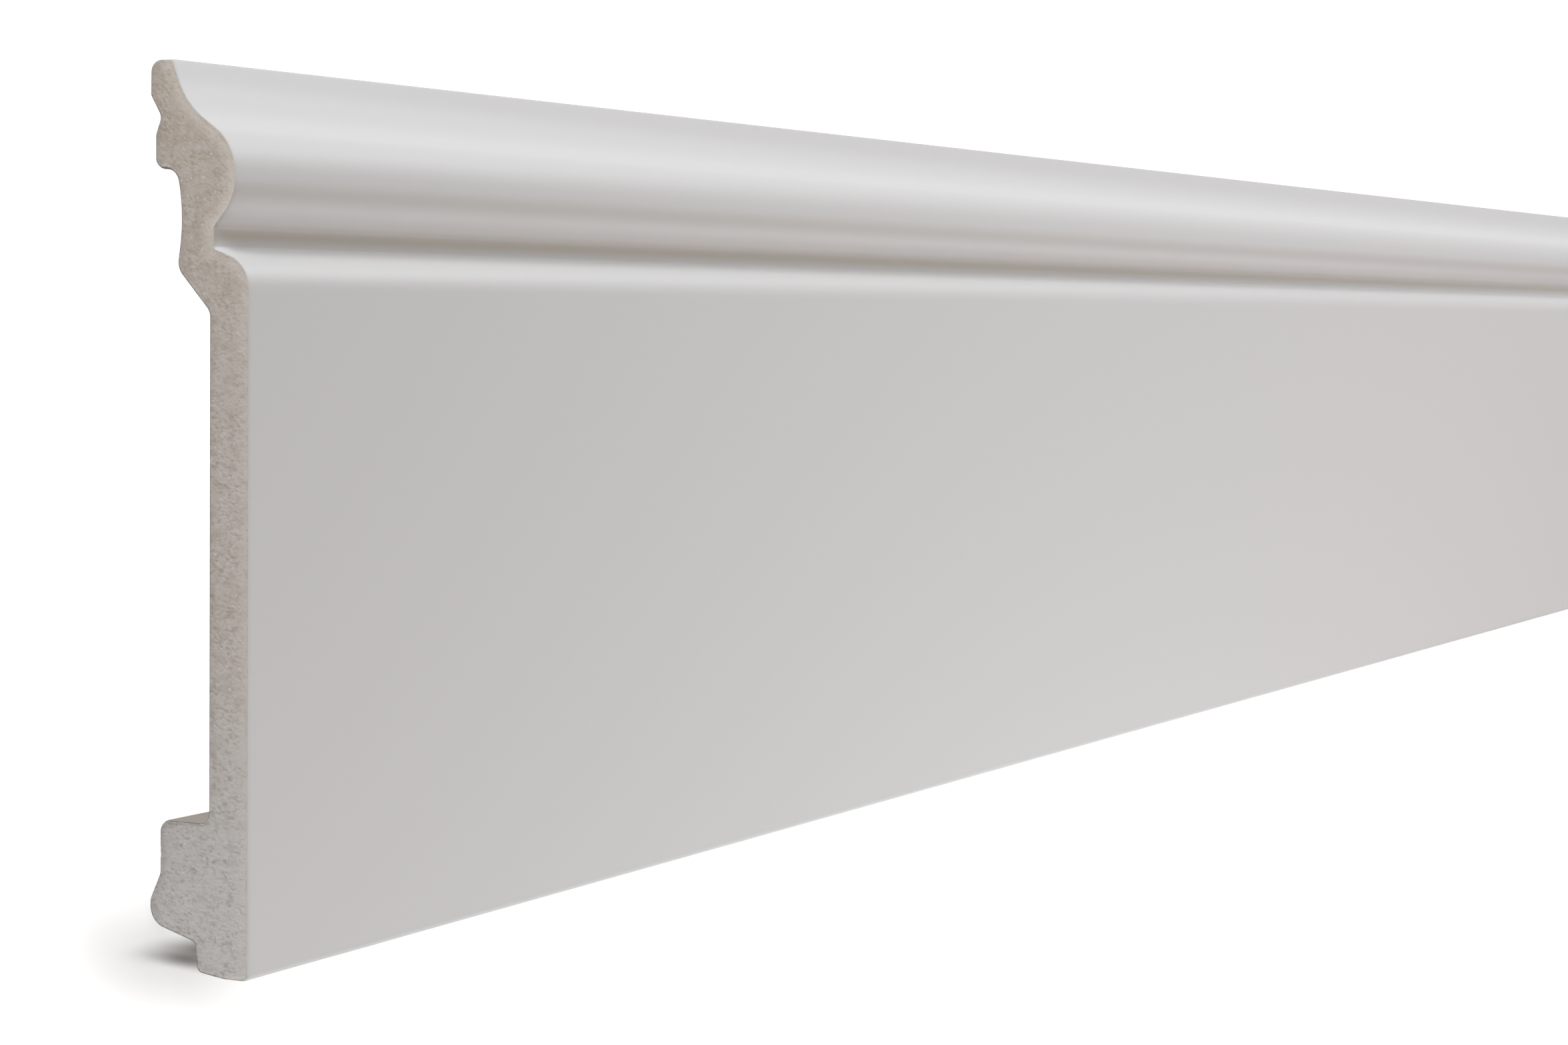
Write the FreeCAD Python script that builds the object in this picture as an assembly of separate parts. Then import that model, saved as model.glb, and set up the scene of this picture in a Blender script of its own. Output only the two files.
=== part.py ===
import FreeCAD, Part
import math
import os

# A length of skirting board, moulded in one piece and lying on its back.
# +X runs along the board, +Y from its foot to its top edge, +Z from the wall side to the room side.
# The origin is the middle of the wall plane. Sizes are in millimetres.
# The section is a ring of corners, each rounded by an arc that meets its two sides smoothly.

# Overall sizes
board_length = 2000.0
board_height = 138.0
board_depth = 18.0

# Web: the thin stretch behind the plain face
web_thickness = 7.2
web_foot_radius = 1.6
web_head_radius = 2.0

# Room side, from the top edge down: the cove
top_edge_width = 4.1
top_edge_radius = 0.4
cove_height = 6.5
cove_reach = 2.4
cove_radius = 13.0

# Bead, set back from the plain face, with a shelf above it and a sloped undercut below
bead_setback = 2.5
bead_shelf_height = 6.2
bead_top_radius = 8.1
bead_height = 7.9
bead_foot_radius = 7.5
bead_undercut_height = 4.6

# Groove below the bead, and the rounded shoulder that leads out to the plain face
groove_depth = 6.3
groove_top_radius = 0.8
groove_height = 3.0
groove_foot_radius = 0.5
shoulder_height = 2.2
shoulder_radius = 5.2

# Wall side, from the top edge down: the flat lip and the notch
lip_height = 5.4
lip_top_radius = 1.9
lip_foot_radius = 0.9
notch_depth = 1.9
notch_head_height = 3.2
notch_foot_height = 2.6
notch_radius = 1.3

# Upper glue ridge, just short of the wall plane
upper_ridge_clearance = 0.9
upper_ridge_height = 5.2
upper_ridge_top_radius = 1.8
upper_ridge_foot_radius = 1.9

# Shallow recess, and the slope from it to the web
recess_head_depth = 4.75
recess_head_radius = 2.6
recess_head_height = 7.0
recess_middle_depth = 6.0
recess_middle_radius = 30.0
recess_foot_height = 7.85
recess_foot_depth = 4.85
recess_foot_radius = 3.0
slope_height = 6.45

# Foot, from the base up: the base with its rounded edges
base_flat_width = 4.6
base_flat_radius = 6.0
base_front_radius = 1.2
base_back_reach = 9.3
base_back_height = 0.7
base_back_radius = 1.1

# Undercut behind the base, and the lower glue ridge, which reaches the wall plane
undercut_reach = 9.65
undercut_height = 4.45
undercut_radius = 1.2
undercut_roof_height = 2.45
lower_ridge_foot_radius = 3.4
lower_ridge_height = 3.6
lower_ridge_top_radius = 3.0
lower_ridge_slope_height = 4.1

# Pad above the lower glue ridge, and the ledge on top of it
pad_clearance = 1.85
pad_foot_radius = 2.0
pad_height = 8.2
ledge_radius = 1.9

# Most of a side that the arcs at its two ends may take up
arc_share = 0.95


def unit(vector):
    """The same direction at a length of one."""
    return vector / vector.Length


def rounded_outline(corners):
    """Closed wire round the corners, each a point and the radius of its arc, or less on a short side."""
    points = [point for point, radius in corners]
    sides = [points[(index + 1) % len(points)] - point for index, point in enumerate(points)]
    half_turns = [sides[index - 1].getAngle(side) / 2 for index, side in enumerate(sides)]
    runs = [radius * math.tan(turn) for (point, radius), turn in zip(corners, half_turns)]
    room = [arc_share * side.Length / (runs[index] + runs[(index + 1) % len(runs)])
            for index, side in enumerate(sides)]
    arcs = []
    for index, (point, turn) in enumerate(zip(points, half_turns)):
        run = runs[index] * min(1, room[index - 1], room[index])
        arriving = unit(sides[index - 1])
        leaving = unit(sides[index])
        rise = run * (1 / math.sin(turn) - 1 / math.tan(turn))
        middle = point + unit(leaving - arriving) * rise
        arcs.append(Part.Arc(point - arriving * run, middle, point + leaving * run))
    edges = []
    for index, arc in enumerate(arcs):
        edges.append(Part.LineSegment(arcs[index - 1].EndPoint, arc.StartPoint).toShape())
        edges.append(arc.toShape())
    return Part.Wire(edges)


def at(depth, height):
    """Point of the near end's section, from its depth off the wall and its height above the floor."""
    return FreeCAD.Vector(-board_length / 2, height - board_height / 2, depth)


def room_side():
    """Corners of the cove, the bead, the groove and the shoulder, from the top edge down."""
    bead_face = board_depth - bead_setback
    groove_floor = board_depth - groove_depth
    cove_foot = board_height - cove_height
    bead_top = cove_foot - bead_shelf_height
    bead_foot = bead_top - bead_height
    groove_top = bead_foot - bead_undercut_height
    groove_foot = groove_top - groove_height
    return [
        (at(top_edge_width, board_height), top_edge_radius),
        (at(top_edge_width + cove_reach, cove_foot), cove_radius),
        (at(bead_face, bead_top), bead_top_radius),
        (at(bead_face, bead_foot), bead_foot_radius),
        (at(groove_floor, groove_top), groove_top_radius),
        (at(groove_floor, groove_foot), groove_foot_radius),
        (at(board_depth, groove_foot - shoulder_height), shoulder_radius),
    ]


def foot():
    """Corners of the base, the undercut, the lower glue ridge, the pad and the ledge, from the base up."""
    undercut_roof = base_back_height + undercut_height
    ridge_foot = undercut_roof + undercut_roof_height
    ridge_top = ridge_foot + lower_ridge_height
    pad_foot = ridge_top + lower_ridge_slope_height
    ledge = pad_foot + pad_height
    return [
        (at(board_depth, 0), base_front_radius),
        (at(board_depth - base_flat_width, 0), base_flat_radius),
        (at(board_depth - base_back_reach, base_back_height), base_back_radius),
        (at(board_depth - undercut_reach, undercut_roof), undercut_radius),
        (at(0, ridge_foot), lower_ridge_foot_radius),
        (at(0, ridge_top), lower_ridge_top_radius),
        (at(pad_clearance, pad_foot), pad_foot_radius),
        (at(pad_clearance, ledge), ledge_radius),
        (at(board_depth - web_thickness, ledge), web_foot_radius),
    ]


def wall_side():
    """Corners of the slope, the shallow recess, the upper glue ridge, the notch and the lip, going up."""
    lip_foot = board_height - lip_height
    notch = lip_foot - notch_head_height
    ridge_top = notch - notch_foot_height
    ridge_foot = ridge_top - upper_ridge_height
    recess_middle = ridge_foot - recess_head_height
    recess_foot = recess_middle - recess_foot_height
    return [
        (at(board_depth - web_thickness, recess_foot - slope_height), web_head_radius),
        (at(recess_foot_depth, recess_foot), recess_foot_radius),
        (at(recess_middle_depth, recess_middle), recess_middle_radius),
        (at(recess_head_depth, ridge_foot), recess_head_radius),
        (at(upper_ridge_clearance, ridge_foot), upper_ridge_foot_radius),
        (at(upper_ridge_clearance, ridge_top), upper_ridge_top_radius),
        (at(notch_depth, notch), notch_radius),
        (at(0, lip_foot), lip_foot_radius),
        (at(0, board_height), lip_top_radius),
    ]


def skirting_board():
    """The whole board: its section drawn out along the length."""
    section = Part.Face(rounded_outline(room_side() + foot() + wall_side()))
    return section.extrude(FreeCAD.Vector(board_length, 0, 0))


os.makedirs("parts", exist_ok=True)
skirting_board().exportStep("parts/skirting_board.step")
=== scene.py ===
"""A length of foamed skirting board, primed white on the room side, sawn square and lying on its back."""

import logging
import math
from dataclasses import dataclass, fields
from enum import Enum
from typing import Any

import bmesh
import bpy
import numpy as np
from mathutils import Matrix, Vector
from mathutils.geometry import delaunay_2d_cdt


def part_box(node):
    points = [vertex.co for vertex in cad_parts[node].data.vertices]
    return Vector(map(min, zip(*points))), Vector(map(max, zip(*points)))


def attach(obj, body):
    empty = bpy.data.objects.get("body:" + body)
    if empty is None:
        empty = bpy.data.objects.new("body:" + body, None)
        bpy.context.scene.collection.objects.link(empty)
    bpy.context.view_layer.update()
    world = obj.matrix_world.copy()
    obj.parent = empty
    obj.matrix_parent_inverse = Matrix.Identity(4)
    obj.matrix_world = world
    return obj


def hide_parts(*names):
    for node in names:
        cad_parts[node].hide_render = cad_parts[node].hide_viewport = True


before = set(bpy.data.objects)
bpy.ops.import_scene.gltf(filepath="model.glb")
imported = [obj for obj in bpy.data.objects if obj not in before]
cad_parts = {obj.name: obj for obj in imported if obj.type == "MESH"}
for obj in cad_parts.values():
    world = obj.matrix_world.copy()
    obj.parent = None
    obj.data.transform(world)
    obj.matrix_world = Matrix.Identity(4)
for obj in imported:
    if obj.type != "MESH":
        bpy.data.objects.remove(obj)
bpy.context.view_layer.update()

NODE = "skirting_board"
MM = 0.001
POLYMER_IOR = 1.5
WHITE = (1.0, 1.0, 1.0, 1.0)
LOG = logging.getLogger("skirting_board")

Socket = bpy.types.NodeSocket
Tree = bpy.types.NodeTree
Colour = tuple[float, float, float, float]
Corner = tuple[float, float, float, float]
Given = dict[str, Socket]

# A span takes its first two values to its last two, smoothly between them and held beyond.
Span = tuple[float, float, float, float]

MATH = "ShaderNodeMath"
VECTOR_MATH = "ShaderNodeVectorMath"
COMBINE = "ShaderNodeCombineXYZ"
SEPARATE = "ShaderNodeSeparateXYZ"
RANGE = "ShaderNodeMapRange"
MIX = "ShaderNodeMix"
CARRIED = "ShaderNodeAttribute"
NAMED = "GeometryNodeInputNamedAttribute"
POSITION = "GeometryNodeInputPosition"
SET_POSITION = "GeometryNodeSetPosition"
SMOOTH = {"interpolation_type": "SMOOTHSTEP"}
BLEND = {"data_type": "RGBA", "output": 2}

# A node for several kinds of value has a pair of sockets for each kind, of which these pairs are used.
FIRST, SECOND = 2, 3
FIRST_COLOUR, SECOND_COLOUR = 6, 7


class End(Enum):
    """The two sawn ends, by the way that each one faces along X."""

    NEAR = -1
    FAR = 1


def linear(code: str) -> Colour:
    """Turns an sRGB colour into the linear one that the shaders take.

    Args:
        code: The colour as a hex value, such as "#E4E3E1".

    Returns:
        Red, green, blue and an alpha of 1.
    """
    channels = [int(code[start:start + 2], 16) / 255 for start in (1, 3, 5)]
    curved = [value / 12.92 if value <= 0.04045 else ((value + 0.055) / 1.055) ** 2.4 for value in channels]
    return (*curved, 1.0)


def metres(span: Span) -> Span:
    """A span whose first two values are turned from millimetres to metres."""
    return (span[0] * MM, span[1] * MM, *span[2:])


def labelled(sizes: Any) -> dict[str, float]:
    """A dataclass of sizes in millimetres as named values in metres, such as "Chip Depth"."""
    return {item.name.replace("_", " ").title(): getattr(sizes, item.name) * MM for item in fields(sizes)}


def add(tree: Tree, kind: str, *values: Any, inputs: dict[str | int, Any] | None = None,
        output: str | int = 0, **settings: Any) -> Socket | None:
    """Adds a node, sets it up and links it.

    Args:
        tree: The tree that gets the node.
        kind: The node's type name.
        values: For the first inputs in their order, a value or the socket that feeds each.
        inputs: The same for other inputs, by name or number.
        output: The name or number of the output to give back.
        settings: Values for the node's own properties.

    Returns:
        The output, or None where the node has none.
    """
    node = tree.nodes.new(kind)
    for name, value in settings.items():
        setattr(node, name, value)
    for key, value in {**dict(enumerate(values)), **(inputs or {})}.items():
        if isinstance(value, Socket):
            tree.links.new(value, node.inputs[key])
        else:
            node.inputs[key].default_value = value
    return node.outputs[output] if node.outputs else None


def shaper(name: str, inputs: dict[str, str]) -> tuple[Tree, Given]:
    """Starts a Geometry Nodes tree that takes a mesh and gives one back.

    Args:
        name: The tree's name.
        inputs: The named inputs after the mesh, each with its kind of socket.

    Returns:
        The tree and its inputs as sockets by name.
    """
    tree = bpy.data.node_groups.new(name, "GeometryNodeTree")
    tree.interface.new_socket(name="Geometry", in_out="INPUT", socket_type="NodeSocketGeometry")
    for label, kind in inputs.items():
        tree.interface.new_socket(name=label, in_out="INPUT", socket_type=f"NodeSocket{kind}")
    tree.interface.new_socket(name="Geometry", in_out="OUTPUT", socket_type="NodeSocketGeometry")
    given = add(tree, "NodeGroupInput").node
    return tree, {socket.name: socket for socket in given.outputs if socket.name}


def finished(tree: Tree, geometry: Socket, material: Socket) -> None:
    """Ends a Geometry Nodes tree: its instances made real and its material set.

    Args:
        tree: The tree.
        geometry: What it has made.
        material: The input that holds the material.
    """
    real = add(tree, "GeometryNodeRealizeInstances", geometry)
    dressed = add(tree, "GeometryNodeSetMaterial", inputs={"Geometry": real, "Material": material})
    add(tree, "NodeGroupOutput", dressed)


def shaped(source: bpy.types.Object, tree: Tree, values: dict[str, Any]) -> bpy.types.Mesh:
    """Runs a Geometry Nodes tree on an object.

    Args:
        source: The object that holds the mesh to start from.
        tree: The tree.
        values: A value for each named input.

    Returns:
        The result as a plain mesh, with the modifier gone.
    """
    modifier = source.modifiers.new(tree.name, "NODES")
    modifier.node_group = tree
    for item in tree.interface.items_tree:
        if item.in_out == "INPUT" and item.name in values:
            modifier[item.identifier] = values[item.name]
    depsgraph = bpy.context.evaluated_depsgraph_get()
    mesh = bpy.data.meshes.new_from_object(source.evaluated_get(depsgraph), depsgraph=depsgraph,
                                           preserve_all_data_layers=True)
    source.modifiers.remove(modifier)
    return mesh


def place(name: str, mesh: bpy.types.Mesh) -> bpy.types.Object:
    """Puts a mesh in the scene, as an object at the origin.

    Args:
        name: The name for both.
        mesh: The mesh.

    Returns:
        The object.
    """
    mesh.name = name
    piece = bpy.data.objects.new(name, mesh)
    bpy.context.scene.collection.objects.link(piece)
    return piece


def carry(mesh: bpy.types.Mesh, numbers: dict[str, np.ndarray]) -> None:
    """Gives a mesh's points named numbers."""
    for name, values in numbers.items():
        mesh.attributes.new(name, "FLOAT", "POINT").data.foreach_set("value", values)


@dataclass
class Outline:
    """The board's end section as a ring of points in metres, and what each point carries.

    That is the way into the board, the cover of primer, and how strong the painted shade on the primer is.
    """

    points: np.ndarray
    inward: np.ndarray
    primer: np.ndarray
    thin: np.ndarray

    def inset(self, distance: float) -> np.ndarray:
        """The ring moved into the board by a distance."""
        return self.points + self.inward * distance


@dataclass
class Section:
    """The end section's sizes, in millimetres, and the ring of rounded corners that they make.

    A corner is its depth off the wall, its height above the base, its radius and its cover of primer.
    """

    height: float
    depth: float
    web_thickness: float = 7.2
    web_foot_radius: float = 1.6
    web_head_radius: float = 2.0
    top_edge_width: float = 4.1
    top_edge_radius: float = 0.4
    cove_height: float = 6.5
    cove_reach: float = 2.4
    cove_radius: float = 13.0
    bead_setback: float = 2.5
    bead_shelf_height: float = 6.2
    bead_top_radius: float = 8.1
    bead_height: float = 7.9
    bead_foot_radius: float = 7.5
    bead_undercut_height: float = 4.6
    groove_depth: float = 6.3
    groove_top_radius: float = 0.8
    groove_height: float = 3.0
    groove_foot_radius: float = 0.5
    shoulder_height: float = 2.2
    shoulder_radius: float = 5.2
    lip_height: float = 5.4
    lip_top_radius: float = 1.9
    lip_foot_radius: float = 0.9
    notch_depth: float = 1.9
    notch_head_height: float = 3.2
    notch_foot_height: float = 2.6
    notch_radius: float = 1.3
    upper_ridge_clearance: float = 0.9
    upper_ridge_height: float = 5.2
    upper_ridge_top_radius: float = 1.8
    upper_ridge_foot_radius: float = 1.9
    recess_head_depth: float = 4.75
    recess_head_radius: float = 2.6
    recess_head_height: float = 7.0
    recess_middle_depth: float = 6.0
    recess_middle_radius: float = 30.0
    recess_foot_height: float = 7.85
    recess_foot_depth: float = 4.85
    recess_foot_radius: float = 3.0
    slope_height: float = 6.45
    base_flat_width: float = 4.6
    base_flat_radius: float = 6.0
    base_front_radius: float = 1.2
    base_back_reach: float = 9.3
    base_back_height: float = 0.7
    base_back_radius: float = 1.1
    undercut_reach: float = 9.65
    undercut_height: float = 4.45
    undercut_radius: float = 1.2
    undercut_roof_height: float = 2.45
    lower_ridge_foot_radius: float = 3.4
    lower_ridge_height: float = 3.6
    lower_ridge_top_radius: float = 3.0
    lower_ridge_slope_height: float = 4.1
    pad_clearance: float = 1.85
    pad_foot_radius: float = 2.0
    pad_height: float = 8.2
    ledge_radius: float = 1.9
    base_cover: float = 0.6
    lip_cover: float = 0.7
    # Where the primer gets painted shade: in the groove and on the bead's overhanging side.
    groove_shelter_reach: float = 2.25
    bead_shelter_rise: float = 0.8
    bead_shelter_reach: float = 2.8
    bead_shelter_share: float = 0.45
    arc_share: float = 0.95
    arc_step: float = math.radians(5)

    def room_side(self) -> list[Corner]:
        """Lays out the cove, the bead, the groove and the shoulder.

        Returns:
            Their corners, from the top edge down.
        """
        bead_face = self.depth - self.bead_setback
        groove_floor = self.depth - self.groove_depth
        cove_foot = self.height - self.cove_height
        bead_top = cove_foot - self.bead_shelf_height
        bead_foot = bead_top - self.bead_height
        groove_top = bead_foot - self.bead_undercut_height
        groove_foot = groove_top - self.groove_height
        return [
            (self.top_edge_width, self.height, self.top_edge_radius, 1.0),
            (self.top_edge_width + self.cove_reach, cove_foot, self.cove_radius, 1.0),
            (bead_face, bead_top, self.bead_top_radius, 1.0),
            (bead_face, bead_foot, self.bead_foot_radius, 1.0),
            (groove_floor, groove_top, self.groove_top_radius, 1.0),
            (groove_floor, groove_foot, self.groove_foot_radius, 1.0),
            (self.depth, groove_foot - self.shoulder_height, self.shoulder_radius, 1.0),
        ]

    def foot(self) -> list[Corner]:
        """Lays out the base, the undercut, the lower glue ridge, the pad and the ledge.

        Returns:
            Their corners, from the base up.
        """
        undercut_roof = self.base_back_height + self.undercut_height
        ridge_foot = undercut_roof + self.undercut_roof_height
        ridge_top = ridge_foot + self.lower_ridge_height
        pad_foot = ridge_top + self.lower_ridge_slope_height
        ledge = pad_foot + self.pad_height
        return [
            (self.depth, 0.0, self.base_front_radius, 1.0),
            (self.depth - self.base_flat_width, 0.0, self.base_flat_radius, self.base_cover),
            (self.depth - self.base_back_reach, self.base_back_height, self.base_back_radius, 0.0),
            (self.depth - self.undercut_reach, undercut_roof, self.undercut_radius, 0.0),
            (0.0, ridge_foot, self.lower_ridge_foot_radius, 0.0),
            (0.0, ridge_top, self.lower_ridge_top_radius, 0.0),
            (self.pad_clearance, pad_foot, self.pad_foot_radius, 0.0),
            (self.pad_clearance, ledge, self.ledge_radius, 0.0),
            (self.depth - self.web_thickness, ledge, self.web_foot_radius, 0.0),
        ]

    def wall_side(self) -> list[Corner]:
        """Lays out the slope, the shallow recess, the upper glue ridge, the notch and the lip.

        Returns:
            Their corners, going up.
        """
        lip_foot = self.height - self.lip_height
        notch = lip_foot - self.notch_head_height
        ridge_top = notch - self.notch_foot_height
        ridge_foot = ridge_top - self.upper_ridge_height
        recess_middle = ridge_foot - self.recess_head_height
        recess_foot = recess_middle - self.recess_foot_height
        return [
            (self.depth - self.web_thickness, recess_foot - self.slope_height, self.web_head_radius, 0.0),
            (self.recess_foot_depth, recess_foot, self.recess_foot_radius, 0.0),
            (self.recess_middle_depth, recess_middle, self.recess_middle_radius, 0.0),
            (self.recess_head_depth, ridge_foot, self.recess_head_radius, 0.0),
            (self.upper_ridge_clearance, ridge_foot, self.upper_ridge_foot_radius, 0.0),
            (self.upper_ridge_clearance, ridge_top, self.upper_ridge_top_radius, 0.0),
            (self.notch_depth, notch, self.notch_radius, 0.0),
            (0.0, lip_foot, self.lip_foot_radius, 0.0),
            (0.0, self.height, self.lip_top_radius, self.lip_cover),
        ]

    def sheltered(self) -> list[Corner]:
        """Finds the spots where the primer gets painted shade, in the groove and under the bead.

        Returns:
            One a third of the way down the groove and one on the bead's overhanging side, each as its
            depth, its height, how far it reaches and how strong the painted shade gets there.
        """
        bead_foot = self.height - self.cove_height - self.bead_shelf_height - self.bead_height
        in_groove = bead_foot - self.bead_undercut_height - self.groove_height / 3
        return [
            (self.depth - self.groove_depth, in_groove, self.groove_shelter_reach, 1.0),
            (self.depth - self.bead_setback, bead_foot + self.bead_shelter_rise, self.bead_shelter_reach,
             self.bead_shelter_share),
        ]

    def outline(self, spacing: float) -> Outline:
        """Samples the ring: each corner's arc, and the straight run to the next.

        Args:
            spacing: The longest step, in millimetres.

        Returns:
            The ring in metres, in the board's own frame.
        """
        corners = self.room_side() + self.foot() + self.wall_side()
        spots = np.array([(height - self.height / 2, depth) for depth, height, _, _ in corners])
        radii = np.array([corner[2] for corner in corners])
        cover = np.array([corner[3] for corner in corners])
        sides = np.roll(spots, -1, 0) - spots
        lengths = np.linalg.norm(sides, axis=1)
        ways = sides / lengths[:, None]
        half_turns = np.arccos(np.sum(ways * np.roll(ways, 1, 0), 1)) / 2
        runs = radii * np.tan(half_turns)
        room = self.arc_share * lengths / (runs + np.roll(runs, -1))
        runs = runs * np.minimum(1, np.minimum(room, np.roll(room, 1)))
        found: list[np.ndarray] = []
        primer: list[float] = []
        for index, (spot, half) in enumerate(zip(spots, half_turns)):
            arriving, leaving = ways[index - 1], ways[index]
            radius = runs[index] / math.tan(half)
            to_centre = (leaving - arriving) / np.linalg.norm(leaving - arriving)
            across = (leaving + arriving) / np.linalg.norm(leaving + arriving)
            centre = spot + to_centre * radius / math.cos(half)
            steps = max(math.ceil(2 * half / self.arc_step), math.ceil(2 * half * radius / spacing))
            for angle in np.linspace(-half, half, steps + 1):
                found.append(centre + radius * (across * math.sin(angle) - to_centre * math.cos(angle)))
                primer.append(cover[index])
            after = (index + 1) % len(corners)
            straight = lengths[index] - runs[index] - runs[after]
            for share in np.linspace(0, 1, math.ceil(straight / spacing) + 1)[1:-1]:
                found.append(spot + leaving * (runs[index] + straight * share))
                primer.append(cover[index] * (1 - share) + cover[after] * share)
        points = np.array(found) * MM
        along = np.roll(points, -1, 0) - np.roll(points, 1, 0)
        along /= np.linalg.norm(along, axis=1)[:, None]
        following = np.roll(points, -1, 0)
        area = np.sum(points[:, 0] * following[:, 1] - points[:, 1] * following[:, 0])
        inward = np.column_stack((-along[:, 1], along[:, 0])) * math.copysign(1, area)
        return Outline(points, inward, np.array(primer), self.thinness(points))

    def thinness(self, points: np.ndarray) -> np.ndarray:
        """Finds how strong the painted shade is: a smooth step up towards each shaded spot.

        Args:
            points: The ring's points, in metres.

        Returns:
            A number for each point, 1 where the painted shade is strongest.
        """
        thin = np.zeros(len(points))
        for depth, height, reach, amount in self.sheltered():
            spot = np.array((height - self.height / 2, depth)) * MM
            share = np.clip(1 - np.linalg.norm(points - spot, axis=1) / (reach * MM), 0, 1)
            thin = np.maximum(thin, amount * share ** 2 * (3 - 2 * share))
        return thin


@dataclass(frozen=True)
class SprayedPrimer:
    """Water-based white primer, sprayed on the room side and dried warm, with sizes in millimetres.

    To the eye it is a slightly warm white with a satin sheen and hardly any texture. It is painted browner in
    the groove and under the bead, as painted shade, and fades out over the edges.
    """

    colour: str = "#E4E3E1"
    # Painted shade: a browner primer colour for the groove and under the bead, where shade falls.
    thin: str = "#C3BBB0"
    rim: str = "#DAD6D1"
    roughness: float = 0.42
    peel_size: float = 0.9
    peel_height: float = 0.001
    line_length: float = 240.0
    line_pitch: float = 1.6
    line_height: float = 0.002
    overspray_length: float = 2.5
    overspray_width: float = 0.8
    overspray_share: float = 0.5
    shows_from: float = 0.6
    covers_from: float = 0.95


@dataclass(frozen=True)
class ExtrudedSkin:
    """The foam's own skin on the wall side, as the die leaves it, with sizes in millimetres.

    To the eye it is a dull cream with drag lines along it and open pores. Its colours are drawn darker
    than that cream, as painted shade, and its cut rim is a dark line of painted shade.
    """

    # Painted shade: both skin colours are darker than its own cream, standing in for the shade on the ledge.
    colour: str = "#ACA49A"
    shaded: str = "#A39C93"
    # Painted shade: a dark line along the skin's cut edge.
    rim: str = "#6A5E57"
    roughness: float = 0.62
    line_length: float = 60.0
    line_pitch: float = 0.8
    line_height: float = 0.02
    line_shades: tuple[float, float] = (0.35, 0.7)
    pore_length: float = 2.1
    pore_width: float = 0.7
    pore_depth: float = 0.03
    pore_edge: tuple[float, float] = (0.62, 0.72)


@dataclass(frozen=True)
class SawnFoam:
    """Fine-celled polystyrene foam, torn open by the saw, with sizes and heights in millimetres.

    To the eye it is dull and crumbly: beige at the top and greyer at the foot, peach beside the primer and
    greyer at the wall side. It is browner the deeper a cell is torn, which is painted shade, and paler where
    it stands proud, which is painted highlight. The cells are finer than the render shows, so the grain is
    drawn as coarse as it needs to show. The spans give a colour's share by height, by the distance from an
    edge or by the depth torn, which patches vary.
    """

    warm: str = "#CEC2B5"
    cool: str = "#D7D4D1"
    # Painted shade in the torn hollows (deep) and painted highlight on the proud parts (raised).
    deep: str = "#A48F7B"
    raised: str = "#E4DED9"
    near_primer: str = "#EFE5DA"
    near_wall: str = "#B5ACA5"
    film: str = "#CFC7BF"
    fleck: str = "#E3DCD5"
    roughness: float = 0.85
    film_roughness: float = 0.7
    lower_warmth: Span = (-63.0, -5.0, 0.0, 0.75)
    upper_warmth: Span = (20.0, 50.0, 0.0, 0.25)
    wall_margin: Span = (0.0, 1.6, 0.4, 0.0)
    wall_clear: Span = (1.5, 4.0, 0.0, 1.0)
    primer_margin: Span = (0.0, 3.0, 0.75, 0.0)
    primer_heights: Span = (20.0, 50.0, 0.5, 1.0)
    patch_size: tuple[float, float, float] = (1.8, 1.3, 1.8)
    patch_swing: Span = (0.33, 0.67, -1.0, 1.0)
    deep_share: Span = (-1.0, 5.0, 0.0, 0.55)
    raised_share: Span = (1.0, -4.0, 0.0, 0.6)
    film_size: float = 0.6
    film_shades: tuple[float, float] = (0.35, 0.65)
    grain: float = 0.34
    grain_height: float = 0.07


def new_material(name: str) -> tuple[bpy.types.Material, Tree]:
    """Makes an empty node material.

    Args:
        name: Its name.

    Returns:
        The material and its tree.
    """
    material = bpy.data.materials.new(name)
    material.use_nodes = True
    material.node_tree.nodes.clear()
    return material, material.node_tree


def mottle(tree: Tree, sizes: tuple[float, float, float], detail: float = 2.0,
           roughness: float = 0.5) -> Socket:
    """Soft mottling with spots of a real size.

    Args:
        tree: The tree that gets the nodes.
        sizes: The spots' size along X, Y and Z, in millimetres.
        detail: How many finer layers there are.
        roughness: How strong the finer layers are.

    Returns:
        The mottling, from 0 to 1 and mostly near a half.
    """
    spot = add(tree, "ShaderNodeTexCoord", output="Object")
    scaled = add(tree, VECTOR_MATH, spot, tuple(1 / (size * MM) for size in sizes), operation="MULTIPLY")
    return add(tree, "ShaderNodeTexNoise", noise_dimensions="3D", output="Fac", inputs={
        "Vector": scaled, "Scale": 1.0, "Detail": detail, "Roughness": roughness})


def surfaced(tree: Tree, height: Socket, inputs: dict[str, Any]) -> None:
    """Ends a material: its relief in metres as a bump, under one Principled shader.

    Args:
        tree: The material's tree.
        height: The relief, in metres.
        inputs: The shader's other inputs.
    """
    bump = add(tree, "ShaderNodeBump", inputs={"Height": height, "Distance": 1.0, "Strength": 1.0})
    shader = add(tree, "ShaderNodeBsdfPrincipled", inputs={**inputs, "IOR": POLYMER_IOR, "Normal": bump})
    add(tree, "ShaderNodeOutputMaterial", inputs={"Surface": shader})


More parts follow.
